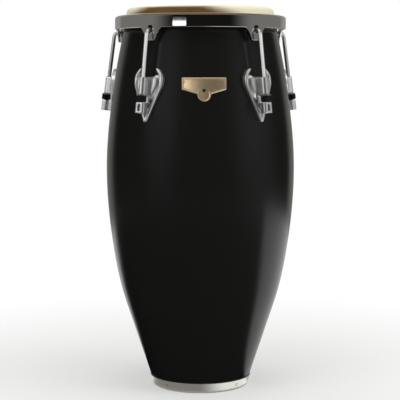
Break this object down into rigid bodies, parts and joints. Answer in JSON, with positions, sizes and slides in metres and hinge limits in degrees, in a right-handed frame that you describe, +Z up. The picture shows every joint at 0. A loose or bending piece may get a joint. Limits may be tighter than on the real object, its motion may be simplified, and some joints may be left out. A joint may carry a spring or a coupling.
{
  "type": "conga drum",
  "caption": "Tall barrel-shaped hand drum with a black gloss shell, rawhide head, chromed rim pulled down by hook-and-nut tuning lugs, a plain badge and a steel base band.",
  "frame": {"origin": "on the drum's axis, in the plane of the foot ring's underside, where it stands", "axes": "+Z up the drum's axis to the head; the badge faces -Y; +X to the right seen from the front"},
  "size_m": [0.4012, 0.3979, 0.762],
  "materials": {
    "lacquered_shell": "black gloss lacquer",
    "head_skin": "natural rawhide",
    "rim_chrome": "polished chrome",
    "plate_chrome": "polished chrome",
    "hook_chrome": "polished chrome",
    "nut_black_oxide": "black oxide",
    "fastener_steel": "zinc-plated steel",
    "hoop_steel": "plain steel",
    "band_steel": "satin steel",
    "badge_brass": "satin champagne plating",
    "foot_rubber": "matt black"
  },
  "bodies": {
    "drum": {"shell": "lacquered_shell", "drumhead_skin": "head_skin", "foot_ring": "foot_rubber", "base_band": "band_steel", "band_screw_1": "band_steel", "band_screw_2": "band_steel", "band_screw_3": "band_steel", "band_screw_4": "band_steel", "badge": "badge_brass", "badge_pin_left": "fastener_steel", "badge_pin_right": "fastener_steel", "side_plate_1": "plate_chrome", "nut_washer_1": "fastener_steel", "backing_strap_1": "fastener_steel", "plate_bolt_1_upper": "fastener_steel", "plate_bolt_1_lower": "fastener_steel", "side_plate_2": "plate_chrome", "nut_washer_2": "fastener_steel", "backing_strap_2": "fastener_steel", "plate_bolt_2_upper": "fastener_steel", "plate_bolt_2_lower": "fastener_steel", "side_plate_3": "plate_chrome", "nut_washer_3": "fastener_steel", "backing_strap_3": "fastener_steel", "plate_bolt_3_upper": "fastener_steel", "plate_bolt_3_lower": "fastener_steel", "side_plate_4": "plate_chrome", "nut_washer_4": "fastener_steel", "backing_strap_4": "fastener_steel", "plate_bolt_4_upper": "fastener_steel", "plate_bolt_4_lower": "fastener_steel", "side_plate_5": "plate_chrome", "nut_washer_5": "fastener_steel", "backing_strap_5": "fastener_steel", "plate_bolt_5_upper": "fastener_steel", "plate_bolt_5_lower": "fastener_steel"},
    "rim_assembly": {"rim": "rim_chrome", "skin_tuck": "head_skin", "flesh_hoop": "hoop_steel"},
    "hook_1": {"tuning_hook_1": "hook_chrome"},
    "nut_1": {"tuning_nut_1": "nut_black_oxide"},
    "hook_2": {"tuning_hook_2": "hook_chrome"},
    "nut_2": {"tuning_nut_2": "nut_black_oxide"},
    "hook_3": {"tuning_hook_3": "hook_chrome"},
    "nut_3": {"tuning_nut_3": "nut_black_oxide"},
    "hook_4": {"tuning_hook_4": "hook_chrome"},
    "nut_4": {"tuning_nut_4": "nut_black_oxide"},
    "hook_5": {"tuning_hook_5": "hook_chrome"},
    "nut_5": {"tuning_nut_5": "nut_black_oxide"}
  },
  "joints": [
    {"name": "rim_slide", "type": "slide", "parent": "drum", "child": "rim_assembly", "axis": [0, 0, -1], "range_m": [-0.005, 0.006]},
    {"name": "nut_turn_1", "type": "hinge", "parent": "drum", "child": "nut_1", "pos_m": [0.11758, -0.16184, 0.585], "axis": [-0.082, 0.1128, 0.9902], "range_deg": [-1290, 1550]},
    {"name": "hook_slide_1", "type": "slide", "parent": "drum", "child": "hook_1", "axis": [0.0411, -0.0566, -0.9976], "range_m": [-0.0053, 0.0063]},
    {"name": "nut_turn_2", "type": "hinge", "parent": "drum", "child": "nut_2", "pos_m": [0.19025, 0.06182, 0.585], "axis": [-0.1327, -0.0431, 0.9902], "range_deg": [-1290, 1550]},
    {"name": "hook_slide_2", "type": "slide", "parent": "drum", "child": "hook_2", "axis": [0.0665, 0.0216, -0.9976], "range_m": [-0.0053, 0.0063]},
    {"name": "nut_turn_3", "type": "hinge", "parent": "drum", "child": "nut_3", "pos_m": [0, 0.20004, 0.585], "axis": [0, -0.1395, 0.9902], "range_deg": [-1290, 1550]},
    {"name": "hook_slide_3", "type": "slide", "parent": "drum", "child": "hook_3", "axis": [0, 0.0699, -0.9976], "range_m": [-0.0053, 0.0063]},
    {"name": "nut_turn_4", "type": "hinge", "parent": "drum", "child": "nut_4", "pos_m": [-0.19025, 0.06182, 0.585], "axis": [0.1327, -0.0431, 0.9902], "range_deg": [-1290, 1550]},
    {"name": "hook_slide_4", "type": "slide", "parent": "drum", "child": "hook_4", "axis": [-0.0665, 0.0216, -0.9976], "range_m": [-0.0053, 0.0063]},
    {"name": "nut_turn_5", "type": "hinge", "parent": "drum", "child": "nut_5", "pos_m": [-0.11758, -0.16184, 0.585], "axis": [0.082, 0.1128, 0.9902], "range_deg": [-1290, 1550]},
    {"name": "hook_slide_5", "type": "slide", "parent": "drum", "child": "hook_5", "axis": [-0.0411, -0.0566, -0.9976], "range_m": [-0.0053, 0.0063]}
  ],
  "couplings": [
    {"joint": "hook_slide_1", "follows": "rim_slide", "ratio": 1.0025},
    {"joint": "nut_turn_1", "follows": "rim_slide", "rad_per_m": 4452.6},
    {"joint": "hook_slide_2", "follows": "rim_slide", "ratio": 1.0025},
    {"joint": "nut_turn_2", "follows": "rim_slide", "rad_per_m": 4452.6},
    {"joint": "hook_slide_3", "follows": "rim_slide", "ratio": 1.0025},
    {"joint": "nut_turn_3", "follows": "rim_slide", "rad_per_m": 4452.6},
    {"joint": "hook_slide_4", "follows": "rim_slide", "ratio": 1.0025},
    {"joint": "nut_turn_4", "follows": "rim_slide", "rad_per_m": 4452.6},
    {"joint": "hook_slide_5", "follows": "rim_slide", "ratio": 1.0025},
    {"joint": "nut_turn_5", "follows": "rim_slide", "rad_per_m": 4452.6}
  ]
}
